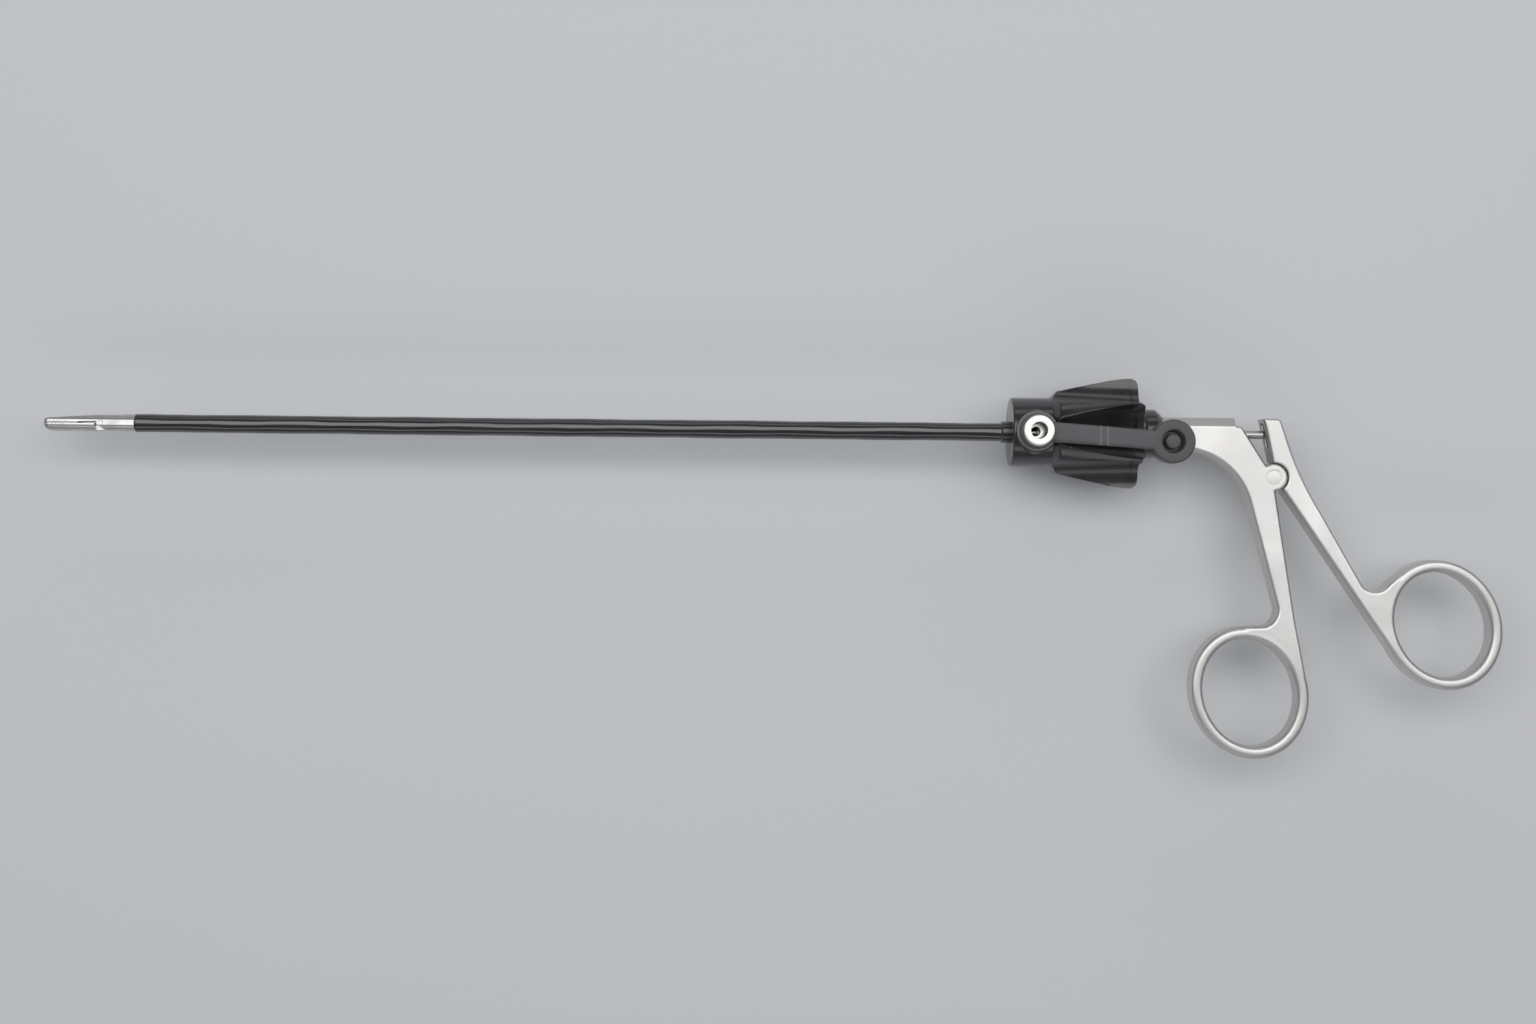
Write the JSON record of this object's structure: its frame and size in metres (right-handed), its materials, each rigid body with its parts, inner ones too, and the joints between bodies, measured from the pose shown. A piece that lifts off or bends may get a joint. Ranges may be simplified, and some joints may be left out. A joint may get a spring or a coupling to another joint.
{
  "type": "laparoscopic grasper",
  "caption": "Slim straight grasping instrument with a ring handle, a fluted turning knob with a capped flushing port, an insulated shaft and one toothed jaw that opens.",
  "frame": {"origin": "on the shaft axis, where the bare insulated shaft leaves the knob's nose ferrule", "axes": "+X along the shaft axis from the jaws towards the handle, +Y away from the finger rings, +Z out of the flat of the handle on the side of the flushing port"},
  "size_m": [0.3918, 0.1016, 0.0272],
  "materials": {
    "handle_steel": "satin, bead blasted",
    "jaw_steel": "bright machined",
    "inner_steel": "ground",
    "port_steel": "polished",
    "knob_black": "gloss black",
    "insulation_black": "gloss black sleeve",
    "cap_rubber": "matt dark grey",
    "seal_rubber": "matt black"
  },
  "bodies": {
    "handle": {"fixed_handle": "handle_steel", "handle_spindle": "inner_steel", "retaining_ring": "inner_steel", "friction_ring": "seal_rubber", "spindle_cross_pin": "inner_steel", "rod_guide_bush": "inner_steel", "pivot_pin": "handle_steel"},
    "shaft": {"knob": "knob_black", "flush_port": "port_steel", "port_gasket": "seal_rubber", "port_cap": "cap_rubber", "nose_ferrule": "knob_black", "shaft_tube": "inner_steel", "shaft_insulation": "insulation_black", "tube_collar": "inner_steel", "rod_seal": "seal_rubber", "seal_retainer": "inner_steel", "fixed_jaw": "jaw_steel", "jaw_hinge_pin": "jaw_steel"},
    "drive_rod": {"drive_rod": "inner_steel", "rod_fork": "inner_steel", "rod_drive_pin": "inner_steel"},
    "moving_jaw": {"moving_jaw": "jaw_steel"},
    "thumb_lever": {"thumb_lever": "handle_steel"}
  },
  "joints": [
    {"name": "lever_hinge", "type": "hinge", "parent": "handle", "child": "thumb_lever", "pos_m": [0.0728, -0.0115, 0], "axis": [0, 0, 1], "range_deg": [0, 14]},
    {"name": "knob_rotation", "type": "hinge", "parent": "handle", "child": "shaft", "pos_m": [0, 0, 0], "axis": [1, 0, 0], "continuous": true},
    {"name": "rod_slide", "type": "slide", "parent": "shaft", "child": "drive_rod", "axis": [-1, 0, 0], "range_m": [0, 0.0028]},
    {"name": "jaw_hinge", "type": "hinge", "parent": "shaft", "child": "moving_jaw", "pos_m": [-0.2413, 0, 0], "axis": [0, 0, 1], "range_deg": [0, 40]}
  ],
  "couplings": [
    {"joint": "rod_slide", "follows": "lever_hinge", "m_per_rad": 0.011459},
    {"joint": "jaw_hinge", "follows": "lever_hinge", "ratio": 2.857}
  ]
}
